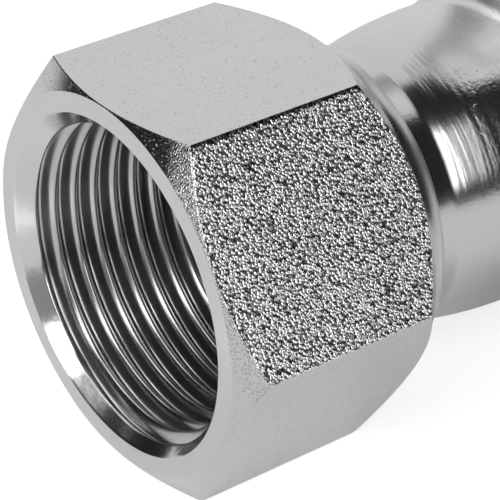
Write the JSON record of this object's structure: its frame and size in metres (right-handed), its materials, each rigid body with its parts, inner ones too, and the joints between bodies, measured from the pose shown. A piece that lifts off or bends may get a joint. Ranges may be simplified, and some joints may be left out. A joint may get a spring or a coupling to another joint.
{
  "type": "press fitting adapter",
  "caption": "Elbow adapter for steel pipe: hexagonal end with a female pipe thread, welded to a tight bend that ends in a press socket with a seal.",
  "frame": {"origin": "on the thread's axis, at its first full turn, where the countersink ends", "axes": "-X points out of the threaded mouth, +Z along the leg and out of the press socket, Y square to both"},
  "size_m": [0.0787, 0.0438, 0.069],
  "materials": {
    "turned_steel": "machined faces, with one as-forged pebbled flat",
    "tube_steel": "drawn and lightly sanded",
    "weld_steel": "smooth fused seam",
    "seal_rubber": "smooth moulded rubber"
  },
  "bodies": {
    "root": {"threaded_end": "turned_steel", "elbow_tube": "tube_steel", "weld_seam": "weld_steel", "seal_ring": "seal_rubber"}
  },
  "joints": []
}
